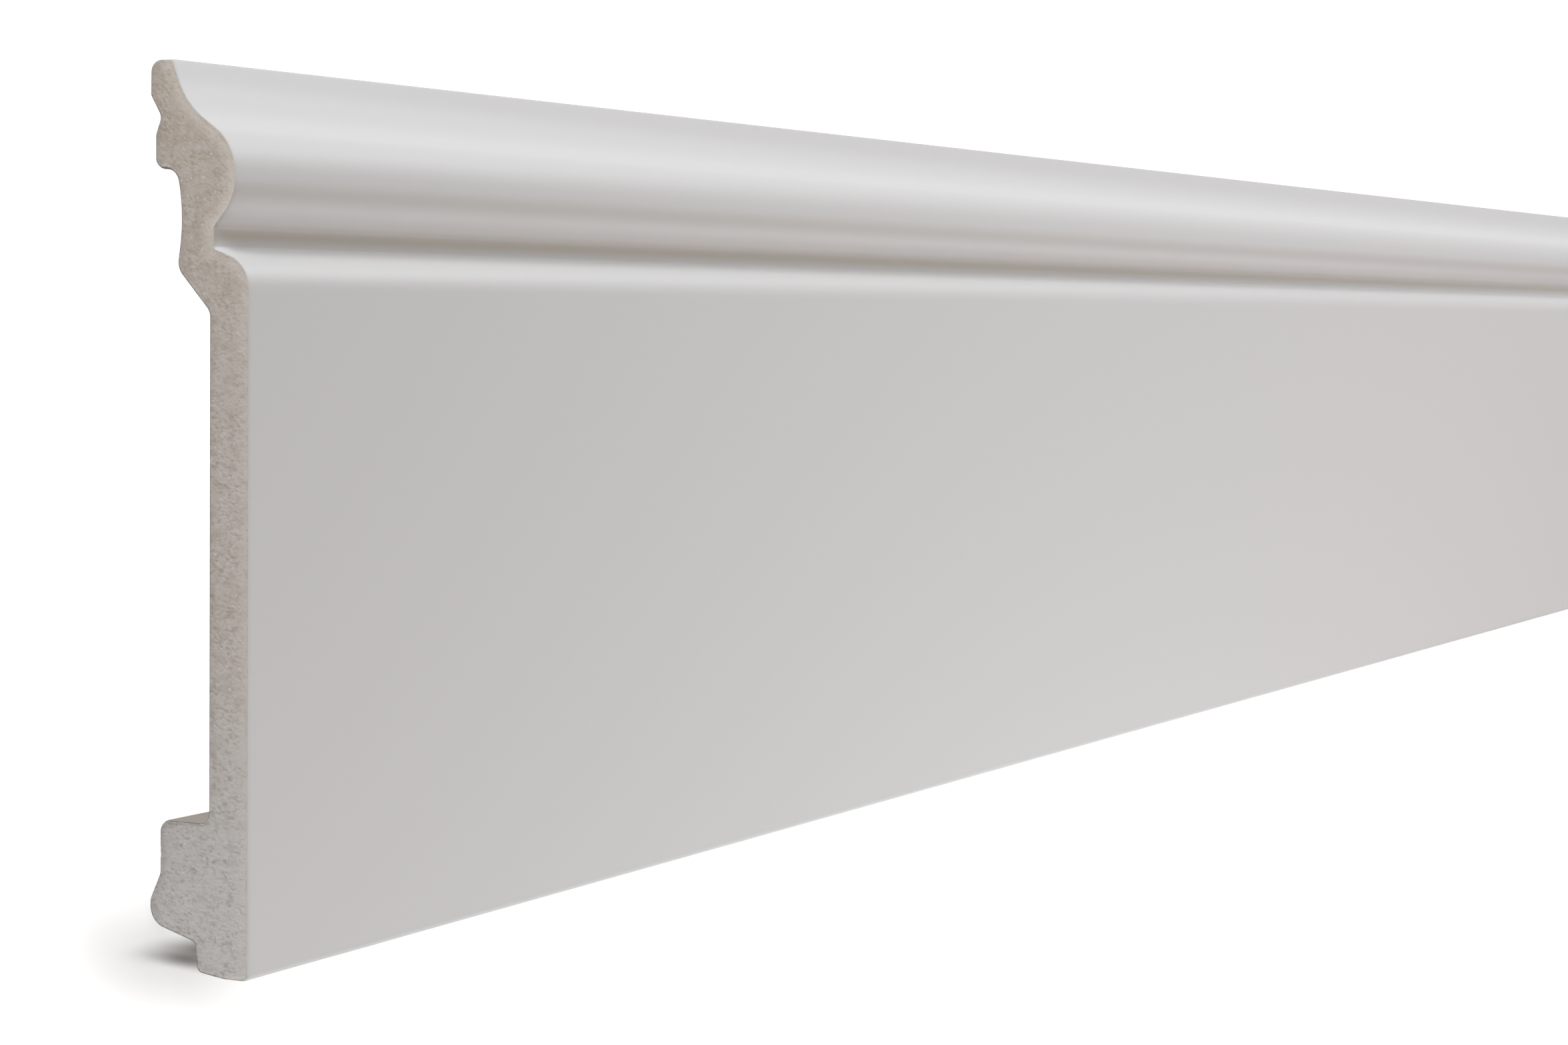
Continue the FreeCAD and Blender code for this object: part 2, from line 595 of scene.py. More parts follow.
def moulding_material(primer: SprayedPrimer, skin: ExtrudedSkin) -> bpy.types.Material:
    """Dresses the board's long faces: primer, which thins out over the edges onto the foam's bare skin.

    Args:
        primer: The primer's looks.
        skin: The bare skin's looks.

    Returns:
        The material.
    """
    material, tree = new_material("white_primer_on_foam_skin")
    cover, thin, rim = (add(tree, CARRIED, attribute_name=name, output="Fac")
                        for name in ("primer", "thin", "rim"))
    spread = (primer.overspray_length, primer.overspray_width, primer.overspray_width)
    drift = mottle(tree, spread, detail=3.0)
    cover = add(tree, MATH, drift, primer.overspray_share, cover, operation="MULTIPLY_ADD")
    primed = add(tree, RANGE, cover, primer.shows_from, primer.covers_from, **SMOOTH)
    drag = mottle(tree, (skin.line_length, skin.line_pitch, skin.line_pitch), detail=3.0, roughness=0.6)
    shade = add(tree, RANGE, drag, *skin.line_shades, **SMOOTH)
    # The bare skin, in colours darkened as painted shade, with random drag lines.
    bare = add(tree, MIX, shade, **BLEND, inputs={
        FIRST_COLOUR: linear(skin.colour), SECOND_COLOUR: linear(skin.shaded)})
    # Painted shade: the bare skin's cut rim turns dark.
    bare = add(tree, MIX, rim, inputs={FIRST_COLOUR: bare, SECOND_COLOUR: linear(skin.rim)}, **BLEND)
    # Painted shade: the primer turns browner in the groove and under the bead.
    paint = add(tree, MIX, thin, **BLEND, inputs={
        FIRST_COLOUR: linear(primer.colour), SECOND_COLOUR: linear(primer.thin)})
    paint = add(tree, MIX, rim, inputs={FIRST_COLOUR: paint, SECOND_COLOUR: linear(primer.rim)}, **BLEND)
    lines = mottle(tree, (primer.line_length, primer.line_pitch, primer.line_pitch))
    peel = mottle(tree, (primer.peel_size,) * 3, detail=1.0)
    peel = add(tree, MATH, peel, primer.peel_height * MM, operation="MULTIPLY")
    paint_height = add(tree, MATH, lines, primer.line_height * MM, peel, operation="MULTIPLY_ADD")
    pores = mottle(tree, (skin.pore_length, skin.pore_width, skin.pore_width))
    pores = add(tree, RANGE, pores, *skin.pore_edge, **SMOOTH)
    pores = add(tree, MATH, pores, -skin.pore_depth * MM, operation="MULTIPLY")
    skin_height = add(tree, MATH, drag, skin.line_height * MM, pores, operation="MULTIPLY_ADD")
    surfaced(tree, add(tree, MIX, primed, inputs={FIRST: skin_height, SECOND: paint_height}), {
        "Base Color": add(tree, MIX, primed, inputs={FIRST_COLOUR: bare, SECOND_COLOUR: paint}, **BLEND),
        "Roughness": add(tree, MIX, primed, inputs={FIRST: skin.roughness, SECOND: primer.roughness})})
    return material


def foam_material(foam: SawnFoam) -> bpy.types.Material:
    """Dresses the sawn ends: colours by height and by the edges, and painted shade and highlight by torn
    depth.

    Args:
        foam: The foam's looks.

    Returns:
        The material.
    """
    material, tree = new_material("sawn_polystyrene_foam")
    to_primer, margin, hollow = (add(tree, CARRIED, attribute_name=name, output="Fac")
                                 for name in ("to_primer", "margin", "hollow"))
    height = add(tree, SEPARATE, add(tree, "ShaderNodeTexCoord", output="Object"), output="Y")
    warmth, more_warmth, near_head = (add(tree, RANGE, height, *metres(span), **SMOOTH) for span in (
        foam.lower_warmth, foam.upper_warmth, foam.primer_heights))
    at_wall = add(tree, RANGE, margin, *metres(foam.wall_margin), **SMOOTH)
    clear, at_primer = (add(tree, RANGE, to_primer, *metres(span), **SMOOTH) for span in (
        foam.wall_clear, foam.primer_margin))
    colour = linear(foam.cool)
    for operation, first, second, other in (("ADD", warmth, more_warmth, foam.warm),
                                            ("MULTIPLY", at_wall, clear, foam.near_wall),
                                            ("MULTIPLY", at_primer, near_head, foam.near_primer)):
        share = add(tree, MATH, first, second, operation=operation)
        colour = add(tree, MIX, share, inputs={FIRST_COLOUR: colour, SECOND_COLOUR: linear(other)}, **BLEND)
    patch = add(tree, RANGE, mottle(tree, foam.patch_size, detail=3.0), *foam.patch_swing, **SMOOTH)
    depth = add(tree, MATH, hollow, patch, operation="ADD")
    # Painted shade and highlight: browner in the torn hollows, paler on the proud parts, varied by random
    # patches.
    for span, other in ((foam.deep_share, foam.deep), (foam.raised_share, foam.raised)):
        share = add(tree, RANGE, depth, *span, **SMOOTH)
        colour = add(tree, MIX, share, inputs={FIRST_COLOUR: colour, SECOND_COLOUR: linear(other)}, **BLEND)
    grain = mottle(tree, (foam.grain,) * 3, roughness=0.6)
    grain = add(tree, MATH, grain, foam.grain_height * MM, operation="MULTIPLY")
    surfaced(tree, grain, {"Base Color": colour, "Roughness": foam.roughness})
    return material


def shard_material(foam: SawnFoam) -> bpy.types.Material:
    """Dresses the loose cell walls: to the eye flimsy pale films, a little glossier than the foam's body.

    Args:
        foam: The foam's looks.

    Returns:
        The material.
    """
    material, tree = new_material("torn_polystyrene_cell_walls")
    film = mottle(tree, (foam.film_size,) * 3, detail=1.0)
    shade = add(tree, RANGE, film, *foam.film_shades, **SMOOTH)
    colour = add(tree, MIX, shade, **BLEND, inputs={
        FIRST_COLOUR: linear(foam.film), SECOND_COLOUR: linear(foam.fleck)})
    height = add(tree, MATH, film, foam.grain_height * MM, operation="MULTIPLY")
    surfaced(tree, height, {"Base Color": colour, "Roughness": foam.film_roughness})
    return material


@dataclass(frozen=True)
class CutEdge:
    """What the saw leaves of the film of primer and skin at a cut edge, in millimetres."""

    film: float = 0.2
    rim_depth: float = 0.9
    chip_depth: float = 0.3
    chip_size: float = 1.6
    frayed_depth: float = 0.7
    edge_round: float = 0.15
    round_length: float = 0.4


@dataclass
class Moulding:
    """The board's long faces: the section drawn along the length, with a fine film that ends at each cut.

    Lengths are in millimetres. The chips are two patterns: how many of each fit a chip's size, then how deep
    the fine one goes, and where the broad one starts and ends.
    """

    section: Section
    length: float
    material: bpy.types.Material
    edge: CutEdge
    spacing: float = 0.45
    stations: int = 58
    crowding: float = 3.0
    marked_reach: float = 0.05
    merge_distance: float = 0.002
    flat_facing: float = 0.8
    chip_counts: tuple[float, float] = (3.2, 0.6)
    fine_share: float = 0.15
    broad_edge: tuple[float, float] = (0.66, 0.72)
    seed: float = 3.0

    def section_wire(self) -> bpy.types.Object:
        """Draws the section as a closed wire, laid out for the sweep.

        Returns:
            The wire, whose points carry the way in, the cover of primer and the strength of the painted
            shade.
        """
        outline = self.section.outline(self.spacing)
        count = len(outline.points)
        mesh = bpy.data.meshes.new("section_wire")
        loop = [(index, (index + 1) % count) for index in range(count)]
        mesh.from_pydata([(-y, -z, 0.0) for y, z in outline.points], loop, [])
        inward = mesh.attributes.new("inward", "FLOAT_VECTOR", "POINT")
        inward.data.foreach_set("vector", np.column_stack((np.zeros(count), outline.inward)).ravel())
        carry(mesh, {"primer": outline.primer, "thin": outline.thin})
        return place("section_wire", mesh)

    def rail(self, tree: Tree, given: Given) -> Socket:
        """Lays the line to draw along, with its stations crowded near the two cuts.

        Args:
            tree: The tree that gets the nodes.
            given: The tree's inputs.

        Returns:
            The line.
        """
        line = add(tree, "GeometryNodeCurvePrimitiveLine", inputs={"End": (1, 0, 0)})
        line = add(tree, "GeometryNodeResampleCurve", inputs={"Curve": line, "Count": given["Stations"]})
        share = add(tree, "GeometryNodeSplineParameter", output="Factor")
        near = add(tree, MATH, share, self.crowding, operation="POWER")
        rest = add(tree, MATH, 1.0, share, operation="SUBTRACT")
        far = add(tree, MATH, rest, self.crowding, operation="POWER")
        both = add(tree, MATH, near, far, operation="ADD")
        eased = add(tree, MATH, near, both, operation="DIVIDE")
        centred = add(tree, MATH, eased, 0.5, operation="SUBTRACT")
        along = add(tree, COMBINE, add(tree, MATH, centred, given["Length"], operation="MULTIPLY"))
        return add(tree, SET_POSITION, inputs={"Geometry": line, "Position": along})

    def chips(self, tree: Tree, given: Given, spot: Socket) -> Socket:
        """Breaks the film's edge back: fine raggedness everywhere, and a few real chips.

        Args:
            tree: The tree that gets the nodes.
            given: The tree's inputs.
            spot: The place.

        Returns:
            How far back, in metres.
        """
        spread = add(tree, COMBINE, 1.0, given["Chip Size"], given["Chip Size"])
        scaled = add(tree, VECTOR_MATH, spot, spread, operation="DIVIDE")
        fine, broad = (add(tree, "ShaderNodeTexNoise", noise_dimensions="4D", output="Fac", inputs={
            "Vector": scaled, "W": given["Seed"], "Scale": count, "Detail": 3.0, "Roughness": 0.6})
            for count in self.chip_counts)
        broad = add(tree, RANGE, broad, *self.broad_edge, **SMOOTH)
        share = add(tree, MATH, fine, self.fine_share, broad, operation="MULTIPLY_ADD")
        return add(tree, MATH, share, given["Chip Depth"], operation="MULTIPLY")

    def worn(self, tree: Tree, given: Given, swept: Socket, inward: Socket) -> Socket:
        """Marks the rim, rounds the edge a little and breaks it back where it is chipped.

        Args:
            tree: The tree that gets the nodes.
            given: The tree's inputs.
            swept: The drawn section.
            inward: The way into the board.

        Returns:
            The worn shell.
        """
        spot = add(tree, POSITION)
        x = add(tree, SEPARATE, spot, output="X")
        half = add(tree, MATH, given["Length"], 0.5, operation="MULTIPLY")
        out = add(tree, MATH, x, operation="ABSOLUTE")
        from_cut = add(tree, MATH, half, out, operation="SUBTRACT")
        at_rim = add(tree, MATH, from_cut, self.marked_reach * MM, operation="LESS_THAN")
        marked = add(tree, "GeometryNodeStoreNamedAttribute", data_type="FLOAT", domain="POINT", inputs={
            "Geometry": swept, "Name": "rim", "Value": at_rim})
        fraying = add(tree, RANGE, from_cut, 0.0, given["Frayed Depth"], 1.0, 0.0, **SMOOTH)
        broken = add(tree, MATH, self.chips(tree, given, spot), fraying, operation="MULTIPLY")
        side = add(tree, MATH, x, operation="SIGN")
        into = add(tree, MATH, side, -1.0, operation="MULTIPLY")
        back = add(tree, COMBINE, add(tree, MATH, broken, into, operation="MULTIPLY"))
        rounding = add(tree, RANGE, from_cut, 0.0, given["Round Length"], given["Edge Round"], 0.0, **SMOOTH)
        pulled = add(tree, VECTOR_MATH, inward, inputs={"Scale": rounding}, operation="SCALE")
        offset = add(tree, VECTOR_MATH, back, pulled, operation="ADD")
        return add(tree, SET_POSITION, inputs={"Geometry": marked, "Offset": offset})

    @staticmethod
    def rim_end(tree: Tree, given: Given) -> Socket:
        """How far from the board's middle the rims end."""
        half = add(tree, MATH, given["Length"], 0.5, operation="MULTIPLY")
        return add(tree, MATH, half, given["Rim Depth"], operation="SUBTRACT")

    def rimmed(self, tree: Tree, given: Given, worn: Socket, inward: Socket) -> Socket:
        """Gives the film its thickness at each cut, and turns it back along the board as a short wall.

        Args:
            tree: The tree that gets the nodes.
            given: The tree's inputs.
            worn: The worn shell.
            inward: The way into the board.

        Returns:
            The shell with its rims.
        """
        spot = add(tree, POSITION)
        x, y, z = (add(tree, SEPARATE, spot, output=axis) for axis in "XYZ")
        side = add(tree, MATH, x, operation="SIGN")
        into = add(tree, COMBINE, add(tree, MATH, side, -1.0, operation="MULTIPLY"))
        neighbours = add(tree, "GeometryNodeInputMeshEdgeNeighbors")
        open_edge = add(tree, "FunctionNodeCompare", data_type="INT", operation="EQUAL", inputs={
            FIRST: neighbours, SECOND: 1})
        flat = add(tree, MATH, given["Film"], given["Edge Round"], operation="SUBTRACT")
        rim = add(tree, "GeometryNodeExtrudeMesh", mode="EDGES", inputs={
            "Mesh": worn, "Selection": open_edge, "Offset": inward, "Offset Scale": flat}).node
        wall = add(tree, "GeometryNodeExtrudeMesh", mode="EDGES", inputs={
            "Mesh": rim.outputs["Mesh"], "Selection": rim.outputs["Top"], "Offset": into,
            "Offset Scale": given["Rim Depth"]}).node
        level = add(tree, MATH, side, self.rim_end(tree, given), operation="MULTIPLY")
        ended = add(tree, COMBINE, level, y, z)
        return add(tree, SET_POSITION, inputs={
            "Geometry": wall.outputs["Mesh"], "Selection": wall.outputs["Top"], "Position": ended})

    def closed(self, tree: Tree, given: Given, shell: Socket, profile: Socket) -> Socket:
        """Closes the shell behind each sawn end with the inset section, filled and merged to it.

        Args:
            tree: The tree that gets the nodes.
            given: The tree's inputs.
            shell: The shell with its rims.
            profile: The section as a curve.

        Returns:
            The closed shell.
        """
        inward = add(tree, NAMED, "inward", data_type="FLOAT_VECTOR")
        # The wire lies with both its axes turned round, and so does its way in.
        turned = add(tree, MATH, given["Film"], -1.0, operation="MULTIPLY")
        parts = (add(tree, SEPARATE, inward, output=axis) for axis in "YZ")
        offset = add(tree, COMBINE, *(add(tree, MATH, part, turned, operation="MULTIPLY") for part in parts))
        inset = add(tree, SET_POSITION, inputs={"Geometry": profile, "Offset": offset})
        filled = add(tree, "GeometryNodeFillCurve", inset)
        upright = (-math.pi / 2, 0.0, -math.pi / 2)
        reach = self.rim_end(tree, given)
        gathered = add(tree, "GeometryNodeJoinGeometry", shell)
        for end in End:
            middle = add(tree, COMBINE, add(tree, MATH, reach, float(end.value), operation="MULTIPLY"))
            cap = add(tree, "GeometryNodeTransform", inputs={
                "Geometry": filled, "Translation": middle, "Rotation": upright})
            if end is End.NEAR:
                cap = add(tree, "GeometryNodeFlipFaces", cap)
            tree.links.new(cap, gathered.node.inputs[0])
        return add(tree, "GeometryNodeMergeByDistance", inputs={
            "Geometry": gathered, "Distance": self.merge_distance * MM})

    def tree(self) -> Tree:
        """Writes the rule that draws the section along, wears the cut edges and closes the ends.

        Returns:
            The rule as a Geometry Nodes tree.
        """
        tree, given = shaper("drawn_moulding", {
            "Length": "Float", "Stations": "Int", **{label: "Float" for label in labelled(self.edge)},
            "Seed": "Float", "Material": "Material"})
        profile = add(tree, "GeometryNodeMeshToCurve", given["Geometry"])
        swept = add(tree, "GeometryNodeCurveToMesh", inputs={
            "Curve": self.rail(tree, given), "Profile Curve": profile})
        inward = add(tree, NAMED, "inward", data_type="FLOAT_VECTOR")
        shell = self.rimmed(tree, given, self.worn(tree, given, swept, inward), inward)
        shell = self.closed(tree, given, shell, profile)
        facing = add(tree, SEPARATE, add(tree, "GeometryNodeInputNormal"), output="X")
        facing = add(tree, MATH, facing, operation="ABSOLUTE")
        rounded = add(tree, MATH, facing, self.flat_facing, operation="LESS_THAN")
        smooth = add(tree, "GeometryNodeSetShadeSmooth", inputs={"Geometry": shell, "Selection": rounded})
        finished(tree, smooth, given["Material"])
        return tree

    def build(self) -> bpy.types.Object:
        """Makes the long faces as one closed mesh.

        Returns:
            The finished piece.
        """
        wire = self.section_wire()
        mesh = shaped(wire, self.tree(), {
            "Length": self.length * MM, "Stations": self.stations, **labelled(self.edge), "Seed": self.seed,
            "Material": self.material})
        bpy.data.objects.remove(wire)
        return place("moulded_board", mesh)


@dataclass(frozen=True)
class Tear:
    """What the saw tears into the foam, in millimetres: each pattern's size and its usual swing."""

    level: float = 0.08
    ridge_length: float = 1.2
    ridge_width: float = 0.4
    ridge_swing: float = 0.011
    lump_length: float = 0.65
    lump_width: float = 0.38
    lump_swing: float = 0.016
    fuzz_size: float = 0.32
    fuzz_swing: float = 0.007
    hollow_size: float = 1.5
    hollow_depth: float = 0.004
    patch_size: float = 4.0
    flush_width: float = 0.5
    smooth_width: float = 2.5


@dataclass(frozen=True)
class TearStyle:
    """How the saw's patterns look and where each is strong: heights in millimetres, angles in degrees.

    A streak is a wave whose foot is softened, whose crest is cut off, and which is added to the plain wave.
    """

    smear_angle: float = 47.0
    lump_turn: float = 32.0
    streak_foot: float = 0.12
    streak_crest: float = 1.4
    streak_middle: float = 0.85
    streak_share: float = 0.4
    noise_middle: float = 0.5
    noise_swing: float = 0.13
    hollow_from: float = 0.9
    ridge_heights: Span = (10.0, 50.0, 0.3, 1.0)
    lump_heights: Span = (10.0, 50.0, 1.0, 0.35)
    patch_strength: Span = (-1.2, 1.2, 0.6, 1.4)
    smooth_strength: float = 0.45


@dataclass(frozen=True)
class Bits:
    """Small torn bits of cell wall that lie on the foam: sizes in millimetres, the spread in degrees.

    The density is a count for each square metre, and the scales are the smallest and the largest bit's.
    """

    name: str = "torn_cells"
    length: float = 0.5
    width: float = 0.34
    thickness: float = 0.04
    margin: float = 0.35
    corners: int = 7
    turn_seed: float = 100.0
    size_seed: float = 300.0
    density: float = 1.3e5
    spread: float = 60.0
    scales: tuple[float, float] = (0.5, 1.3)
    seed: int = 5


@dataclass
class SawnEnd:
    """One sawn end: the foam inside the film, as a slab whose outer face is torn, and the bits on it.

    Lengths are in millimetres. The grain is the spacing of the torn face's points.
    """

    section: Section
    end: End
    length: float
    foam: bpy.types.Material
    shards: bpy.types.Material
    film: float
    seed: int
    tear: Tear = Tear()
    style: TearStyle = TearStyle()
    bits: Bits = Bits()
    spacing: float = 0.45
    grain: float = 0.18
    jitter: float = 0.2
    thickness: float = 0.85
    border: float = 0.12
    clearance: float = 0.005
    sunk: float = 0.03
    painted_from: float = 0.9
    blocks: int = 12

    @property
    def cut(self) -> float:
        """The cut's place along the board, in metres."""
        return self.end.value * self.length / 2 * MM

    def inner_points(self, ring: np.ndarray, painted: np.ndarray) -> tuple[np.ndarray, np.ndarray]:
        """Points inside the ring in a jittered hexagonal pattern, clear of its border.

        Args:
            ring: The ring, in metres.
            painted: For each of the ring's points, whether it lies behind primer.

        Returns:
            The points, and for each how far it is from the ring and from the primer.
        """
        low, high = ring.min(0), ring.max(0)
        step = self.grain * MM
        rows = np.arange(low[1], high[1], step * math.sqrt(3) / 2)
        columns = np.arange(low[0], high[0], step)
        grid = np.array([(y + step / 2 * (number % 2), z) for number, z in enumerate(rows) for y in columns])
        grid += np.random.default_rng(self.seed).uniform(-self.jitter, self.jitter, grid.shape) * step
        following = np.roll(ring, -1, 0)
        rise = np.where(following[:, 1] == ring[:, 1], 1.0, following[:, 1] - ring[:, 1])
        slant = (following[:, 0] - ring[:, 0]) / rise
        kept, gaps = [], []
        for block in np.array_split(grid, self.blocks):
            y, z = block[:, :1], block[:, 1:]
            beside = (ring[:, 1] > z) != (following[:, 1] > z)
            inside = (beside & (y < ring[:, 0] + (z - ring[:, 1]) * slant)).sum(1) % 2 == 1
            reach = np.sqrt((y - ring[:, 0]) ** 2 + (z - ring[:, 1]) ** 2)
            gap = np.column_stack((reach.min(1), reach[:, painted].min(1)))
            clear = inside & (gap[:, 0] > self.border * MM)
            kept.append(block[clear])
            gaps.append(gap[clear])
        return np.vstack(kept), np.vstack(gaps)

    def slab(self) -> bpy.types.Object:
        """Makes the foam slab with a flat outer face.

        Returns:
            The slab, whose points carry how far they lie from the edge and from the primer.
        """
        outline = self.section.outline(self.spacing)
        ring = outline.inset((self.film + self.clearance) * MM)
        painted = outline.primer > self.painted_from
        count = len(ring)
        loop = [(index, (index + 1) % count) for index in range(count)]
        inner, gaps = self.inner_points(ring, painted)
        rim_gaps = np.sqrt(((ring[:, None] - ring[None, painted]) ** 2).sum(2)).min(1)
        spots = [Vector(point) for point in np.vstack((ring, inner))]
        inside_only, tolerance = 1, 1e-9
        flat, _, faces, _, _, _ = delaunay_2d_cdt(spots, loop, [], inside_only, tolerance)
        back, _, back_faces, _, _, _ = delaunay_2d_cdt(spots[:count], loop, [], inside_only, tolerance)
        size = len(flat)
        front_x = self.cut - self.end.value * self.sunk * MM
        back_x = self.cut - self.end.value * self.thickness * MM
        vertices = [(front_x, y, z) for y, z in flat] + [(back_x, y, z) for y, z in back]
        polygons = [tuple(face) for face in faces]
        polygons += [tuple(size + index for index in face) for face in back_faces]
        polygons += [(a, b, size + b, size + a) for a, b in loop]
        mesh = bpy.data.meshes.new("slab")
        mesh.from_pydata(vertices, [], polygons)
        carry(mesh, {"margin": np.concatenate((np.zeros(count), gaps[:, 0], np.zeros(len(back)))),
                     "to_primer": np.concatenate((rim_gaps, gaps[:, 1], rim_gaps))})
        work = bmesh.new()
        work.from_mesh(mesh)
        bmesh.ops.recalc_face_normals(work, faces=work.faces)
        work.to_mesh(mesh)
        work.free()
        return place("slab", mesh)

    def swing(self, tree: Tree, given: Given, spot: Socket, sizes: tuple[str, str, str],
              detail: float = 1.0) -> Socket:
        """Seeded noise that swings about zero, mostly by one either way.

        Args:
            tree: The tree that gets the nodes.
            given: The tree's inputs.
            spot: The place.
            sizes: The inputs that hold the pattern's size along X, Y and Z.
            detail: How many finer layers there are.

        Returns:
            The swing.
        """
        size = add(tree, COMBINE, *(given[name] for name in sizes))
        scaled = add(tree, VECTOR_MATH, spot, size, operation="DIVIDE")
        raw = add(tree, "ShaderNodeTexNoise", noise_dimensions="4D", output="Fac", inputs={
            "Vector": scaled, "W": given["Seed"], "Scale": 1.0, "Detail": detail, "Roughness": 0.5})
        centred = add(tree, MATH, raw, self.style.noise_middle, operation="SUBTRACT")
        return add(tree, MATH, centred, self.style.noise_swing, operation="DIVIDE")

    def streaks(self, tree: Tree, given: Given, kind: str, angle: Any) -> Socket:
        """Worm-like ridges along an angle, of the named kind's length and width.

        Args:
            tree: The tree that gets the nodes.
            given: The tree's inputs.
            kind: The first word of the inputs that hold the sizes.
            angle: The angle, or its socket.

        Returns:
            The streaks' swing about zero.
        """
        turned = add(tree, "ShaderNodeVectorRotate", rotation_type="X_AXIS", inputs={
            "Vector": add(tree, POSITION), "Angle": angle})
        wave = self.swing(tree, given, turned, (f"{kind} Width", f"{kind} Length", f"{kind} Width"))
        softened = add(tree, MATH, wave, wave, self.style.streak_foot, operation="MULTIPLY_ADD")
        crest = add(tree, MATH, softened, operation="SQRT")
        crest = add(tree, MATH, crest, self.style.streak_crest, operation="MINIMUM")
        crest = add(tree, MATH, crest, self.style.streak_middle, operation="SUBTRACT")
        return add(tree, MATH, crest, self.style.streak_share, wave, operation="MULTIPLY_ADD")

    def relief(self, tree: Tree, given: Given) -> Socket:
        """Sums up what is torn: ridges along the saw's way, lumps, fuzz and hollows.

        Args:
            tree: The tree that gets the nodes.
            given: The tree's inputs.

        Returns:
            The depth about a middle level, in metres.
        """
        style = self.style
        spot = add(tree, POSITION)
        height = add(tree, SEPARATE, spot, output="Y")
        lump_angle = add(tree, MATH, given["Smear Angle"], math.radians(style.lump_turn), operation="ADD")
        fuzz, patch = (self.swing(tree, given, spot, (size,) * 3) for size in ("Fuzz Size", "Patch Size"))
        hollow = self.swing(tree, given, spot, ("Hollow Size",) * 3, detail=2.0)
        hollow = add(tree, MATH, hollow, style.hollow_from, operation="SUBTRACT")
        hollow = add(tree, MATH, hollow, 0.0, operation="MAXIMUM")
        relief = add(tree, MATH, fuzz, given["Fuzz Swing"], operation="MULTIPLY")
        for kind, angle, heights in (("Ridge", given["Smear Angle"], style.ridge_heights),
                                     ("Lump", lump_angle, style.lump_heights)):
            strength = add(tree, RANGE, height, *metres(heights), **SMOOTH)
            streaks = self.streaks(tree, given, kind, angle)
            streaks = add(tree, MATH, streaks, strength, operation="MULTIPLY")
            relief = add(tree, MATH, streaks, given[f"{kind} Swing"], relief, operation="MULTIPLY_ADD")
        relief = add(tree, MATH, hollow, given["Hollow Depth"], relief, operation="MULTIPLY_ADD")
        to_primer = add(tree, NAMED, "to_primer", data_type="FLOAT")
        strengths = (
            add(tree, RANGE, patch, *style.patch_strength, **SMOOTH),
            add(tree, RANGE, to_primer, 0.0, given["Smooth Width"], style.smooth_strength, 1.0, **SMOOTH))
        for strength in strengths:
            relief = add(tree, MATH, relief, strength, operation="MULTIPLY")
        return relief

    def torn_tree(self) -> Tree:
        """Writes the rule that tears the outer face, and keeps each point's depth for painted shade and
        highlight.

        Returns:
            The rule as a Geometry Nodes tree.
        """
        tree, given = shaper("torn_foam", {
            "Into Board": "Float", "Smear Angle": "Float",
            **{label: "Float" for label in labelled(self.tear)}, "Seed": "Float", "Material": "Material"})
        relief = self.relief(tree, given)
        margin = add(tree, NAMED, "margin", data_type="FLOAT")
        inner = add(tree, RANGE, margin, 0.0, given["Flush Width"], **SMOOTH)
        depth = add(tree, MATH, relief, given["Level"], operation="ADD")
        depth = add(tree, MATH, depth, 0.0, operation="MAXIMUM")
        depth = add(tree, MATH, depth, inner, operation="MULTIPLY")
        offset = add(tree, COMBINE, add(tree, MATH, depth, given["Into Board"], operation="MULTIPLY"))
        kept = add(tree, "GeometryNodeStoreNamedAttribute", data_type="FLOAT", domain="POINT", inputs={
            "Geometry": given["Geometry"], "Name": "hollow",
            "Value": add(tree, MATH, relief, given["Ridge Swing"], operation="DIVIDE")})
        moved = add(tree, SET_POSITION, inputs={"Geometry": kept, "Offset": offset})
        smooth = add(tree, "GeometryNodeSetShadeSmooth", inputs={
            "Geometry": moved, "Selection": add(tree, MATH, margin, 0.0, operation="GREATER_THAN")})
        finished(tree, smooth, given["Material"])
        return tree

    @staticmethod
    def chance(tree: Tree, low: Any, high: Any, seed: Socket, own: float) -> Socket:
        """A random number from low to high for each point, from a seed with its own number added."""
        moved = add(tree, MATH, seed, own, operation="ADD")
        return add(tree, "FunctionNodeRandomValue", data_type="FLOAT", output=1, inputs={
            FIRST: low, SECOND: high, "Seed": moved})

    def scatter_tree(self) -> Tree:
        """Writes the rule that strews flat bits over the torn face, roughly along the smears.

        Returns:
            The rule as a Geometry Nodes tree.
        """
        tree, given = shaper("strewn_bits", {
            "Length": "Float", "Width": "Float", "Thickness": "Float", "Density": "Float",
            "Smear Angle": "Float", "Spread": "Float", "Margin": "Float", "Half Length": "Float",
            "Seed": "Int", "Material": "Material"})
        margin = add(tree, NAMED, "margin", data_type="FLOAT")
        inner = add(tree, "FunctionNodeCompare", margin, given["Margin"], operation="GREATER_THAN")
        points = add(tree, "GeometryNodeDistributePointsOnFaces", output="Points", inputs={
            "Mesh": given["Geometry"], "Selection": inner, "Density": given["Density"],
            "Seed": given["Seed"]})
        lowest = add(tree, MATH, given["Spread"], -1.0, operation="MULTIPLY")
        turn = self.chance(tree, lowest, given["Spread"], given["Seed"], self.bits.turn_seed)
        turn = add(tree, MATH, turn, given["Smear Angle"], operation="SUBTRACT")
        turned = add(tree, "FunctionNodeEulerToRotation", add(tree, COMBINE, turn))
        size = self.chance(tree, *self.bits.scales, given["Seed"], self.bits.size_seed)
